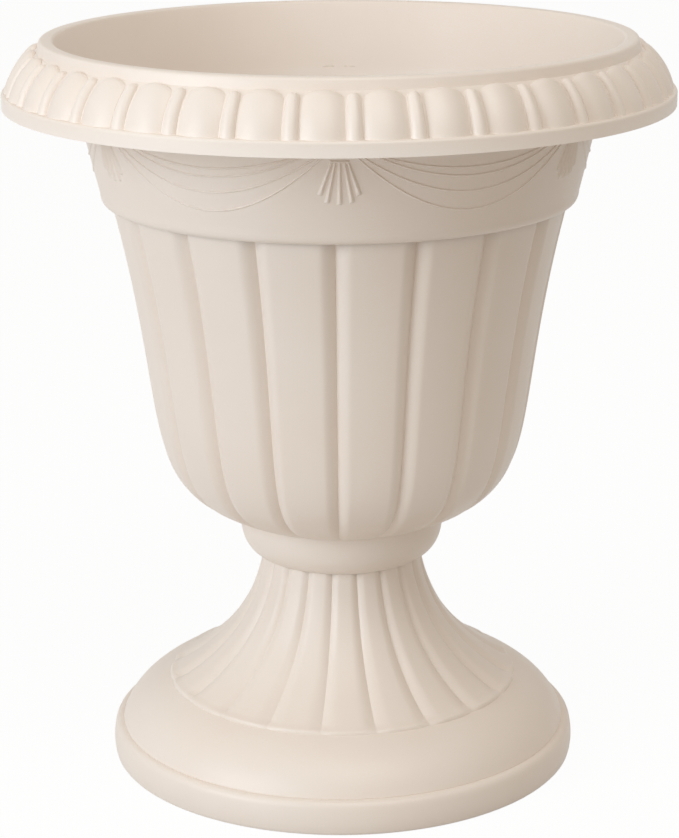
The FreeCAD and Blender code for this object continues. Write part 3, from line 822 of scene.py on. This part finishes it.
class URN_OT_pedestal(bpy.types.Operator):
    """Foot ring, dome, fluted stem and spigot of the pedestal"""

    bl_idname = "urn.pedestal"
    bl_label = "Pedestal"

    def execute(self, context):
        sizes = context.scene.urn_pedestal
        resin = material_named("cream_resin")
        base = turned_ring("pedestal_base", self.base_loop(), 384)
        dressed(base, "pedestal", resin)
        crest = bezier(FLUTE_CREST, 84)
        roll = bezier([(110.6, 46.5), (110.9, 49.2), (110.9, 50.6), (110.0, 51.1),
                       (108.6, 51.55)], 16)
        outer = np.concatenate([roll[:-1], crest[2:]])
        inner = offset(bezier(FLUTE_CREST, 32), WALL)
        inner = inner[inner[:, 0] > 46.5]
        inner = inner if inner[0, 1] < inner[-1, 1] else inner[::-1]
        loop = joined(outer, [(SPIGOT_BORE, SEAT_LEVEL)], [(SPIGOT_BORE, 128.0)], inner[::-1])
        weights = np.zeros(len(loop))
        rows = len(roll) - 1
        weights[:rows] = np.linspace(0, 1, rows) ** 1.5
        weights[rows:len(outer)] = 1.0
        angles = lobe_angles(sizes.flutes, math.degrees(sizes.flute_turn), sizes.flute_shoulder)
        stem = new_piece("pedestal_stem", turned_points(loop[::-1], angles),
                         ring_faces(len(loop), len(angles)))
        lobed(stem, weights, sizes.flutes, sizes.flute_turn, sizes.flute_shoulder,
              sizes.flute_depth, resin)
        dressed(stem, "pedestal", resin)
        dressed(self.spigot(), "pedestal", resin)
        return {"FINISHED"}

    def base_loop(self):
        """Closed profile of the foot ring and the dome, hollow below."""
        dome = bezier(DOME_CREST, 34)
        side = bezier([(146.8, 0.9), (148.05, 5.0), (148.05, 10.5), (147.0, 15.7)], 12)
        shoulder = bezier([(147.0, 15.7), (146.4, 19.4), (144.6, 21.0), (141.4, 20.9)], 10)
        inner = bezier([(110.2, 46.0), (132.8, 36.8), (138.5, 21.2)], 14)
        return joined([(146.0, 0.0)], side, shoulder, dome[::-1], [(107.0, 49.2)], [(106.0, 46.4)],
                      inner, straight((143.8, 15.7), (143.8, 0.0), 3))

    def spigot(self):
        """Hollow spigot with its two keys."""
        angles, at_key = keyed_angles(math.asin(4.0 / SPIGOT_KEY))
        proud = np.where(at_key, SPIGOT_KEY, SPIGOT_RADIUS)
        plain = np.full(len(angles), SPIGOT_RADIUS)
        bore = np.full(len(angles), SPIGOT_BORE)
        rows = [(bore, 131.0), (bore, 155.0), (plain - 0.8, 155.0), (plain, 154.2),
                (plain, 152.0), (proud, 151.9), (proud, 131.0)]
        return new_piece("pedestal_spigot", stacked(rows, angles),
                         ring_faces(7, len(angles)))


class URN_OT_drain_plugs(bpy.types.Operator):
    """Rubber of the drain plugs, which keep their built shape"""

    bl_idname = "urn.drain_plugs"
    bl_label = "Drain Plugs"

    def execute(self, context):
        rubber = material_named("grey_rubber")
        for name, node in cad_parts.items():
            if name.startswith("drain_plug"):
                node.data.materials.clear()
                node.data.materials.append(rubber)
        return {"FINISHED"}


class URN_OT_studio(bpy.types.Operator):
    """Pale floor, soft lamps and the camera"""

    bl_idname = "urn.studio"
    bl_label = "Studio"

    def execute(self, context):
        studio = context.scene.urn_studio
        scene = context.scene
        scene.view_settings.view_transform = "Standard"
        self.camera(scene, studio)
        self.lamp("key_lamp", (-1.85, -1.45, 0.98), 1.5, studio.key_power, (0.87, 0.955, 1.06))
        self.lamp("top_lamp", (0.35, -1.1, 2.3), 1.4, studio.top_power, (0.96, 0.98, 1.0))
        self.world(scene, studio)
        self.floor()
        return {"FINISHED"}

    def camera(self, scene, studio):
        data = bpy.data.cameras.new("camera")
        data.sensor_width = 36
        data.lens = studio.lens
        data.shift_x = -1.5 / 838
        data.clip_end = 50
        camera = bpy.data.objects.new("camera", data)
        camera.location = (0, -1.51211, 0.65190)
        pitch = Euler((math.radians(90 - 16.0761), 0, 0)).to_matrix()
        roll = Euler((0, 0, math.radians(-0.33475))).to_matrix()
        camera.rotation_euler = (pitch @ roll).to_euler()
        scene.collection.objects.link(camera)
        scene.camera = camera

    def lamp(self, name, place, size, power, colour):
        data = bpy.data.lights.new(name, "AREA")
        data.shape = "DISK"
        data.size = size
        data.energy = power
        data.color = colour
        lamp = bpy.data.objects.new(name, data)
        lamp.location = place
        target = np.array([0, 0, 0.25]) - np.array(place)
        flat = math.hypot(target[0], target[1])
        lamp.rotation_euler = (math.atan2(flat, -target[2]), 0,
                               math.atan2(target[1], target[0]) - math.pi / 2)
        bpy.context.scene.collection.objects.link(lamp)

    def world(self, scene, studio):
        world = bpy.data.worlds.new("studio_sky")
        world.use_nodes = True
        world.node_tree.nodes.clear()
        tree = Tree(world.node_tree)
        path = tree.node("ShaderNodeLightPath")
        even = tree.node("ShaderNodeBackground")
        even.inputs["Color"].default_value = (1.0, 0.89, 0.765, 1)
        even.inputs["Strength"].default_value = studio.sky
        white = tree.node("ShaderNodeBackground")
        white.inputs["Strength"].default_value = 1.0
        mix = tree.node("ShaderNodeMixShader")
        output = tree.node("ShaderNodeOutputWorld")
        tree.link(self.seen(tree, path), mix.inputs[0])
        tree.link(even.outputs[0], mix.inputs[1])
        tree.link(white.outputs[0], mix.inputs[2])
        tree.link(mix.outputs[0], output.inputs["Surface"])
        scene.world = world

    def seen(self, tree, path):
        """One where the camera sees a surface itself, in a gloss or through glass."""
        gloss = tree.math("ADD", path.outputs["Is Camera Ray"], path.outputs["Is Glossy Ray"])
        return tree.math("ADD", gloss, path.outputs["Is Transmission Ray"], clamp=True)

    def floor(self):
        """Pale floor that shows the shadow, just below the part."""
        size, level = 6.0, -0.0002
        mesh = bpy.data.meshes.new("floor")
        mesh.from_pydata([(-size, -size, level), (size, -size, level),
                          (size, size, level), (-size, size, level)], [], [(0, 1, 2, 3)])
        floor = bpy.data.objects.new("floor", mesh)
        bpy.context.scene.collection.objects.link(floor)
        material = bpy.data.materials.new("pale_floor")
        material.use_nodes = True
        material.node_tree.nodes.clear()
        tree = Tree(material.node_tree)
        path = tree.node("ShaderNodeLightPath")
        matt = tree.node("ShaderNodeBsdfDiffuse")
        tint = tree.node("ShaderNodeMix", data_type="RGBA")
        tint.inputs["A"].default_value = (0.63, 0.61, 0.59, 1)
        tint.inputs["B"].default_value = (1, 1, 1, 1)
        tree.link(path.outputs["Is Camera Ray"], tint.inputs["Factor"])
        tree.link(tint.outputs["Result"], matt.inputs["Color"])
        glow = tree.node("ShaderNodeEmission")
        glow.inputs["Strength"].default_value = 1.0
        both = tree.node("ShaderNodeMixShader")
        tree.link(tree.math("MULTIPLY", self.seen(tree, path), 0.95), both.inputs[0])
        tree.link(matt.outputs[0], both.inputs[1])
        tree.link(glow.outputs[0], both.inputs[2])
        output = tree.node("ShaderNodeOutputMaterial")
        tree.link(both.outputs[0], output.inputs["Surface"])
        mesh.materials.append(material)


OPERATORS = (URN_OT_bowl_body, URN_OT_bowl_rim, URN_OT_egg_course, URN_OT_band_relief,
             URN_OT_pedestal, URN_OT_drain_plugs, URN_OT_studio)


class URN_PT_panel(bpy.types.Panel):
    """Buttons and sizes of the urn planter"""

    bl_label = "Urn Planter"
    bl_idname = "URN_PT_panel"
    bl_space_type = "VIEW_3D"
    bl_region_type = "UI"
    bl_category = "Urn"

    def draw(self, context):
        column = self.layout.column()
        for operator in OPERATORS:
            column.operator(operator.bl_idname)
        for group in ("urn_bowl", "urn_pedestal", "urn_finish", "urn_studio"):
            settings = getattr(context.scene, group)
            for name in settings.__annotations__:
                column.prop(settings, name)


GROUPS = {"urn_bowl": UrnBowlSizes, "urn_pedestal": UrnPedestalSizes, "urn_finish": UrnFinish,
          "urn_studio": UrnStudio}
CLASSES = (*GROUPS.values(), *OPERATORS, URN_PT_panel)


def register():
    for made in CLASSES:
        bpy.utils.register_class(made)
    for name, group in GROUPS.items():
        setattr(bpy.types.Scene, name, bpy.props.PointerProperty(type=group))


def unregister():
    for name in GROUPS:
        delattr(bpy.types.Scene, name)
    for made in reversed(CLASSES):
        bpy.utils.unregister_class(made)


def main():
    register()
    bpy.ops.urn.bowl_body()
    bpy.ops.urn.bowl_rim()
    bpy.ops.urn.egg_course()
    bpy.ops.urn.band_relief()
    bpy.ops.urn.pedestal()
    bpy.ops.urn.drain_plugs()
    bpy.ops.urn.studio()


if __name__ == "__main__":
    main()
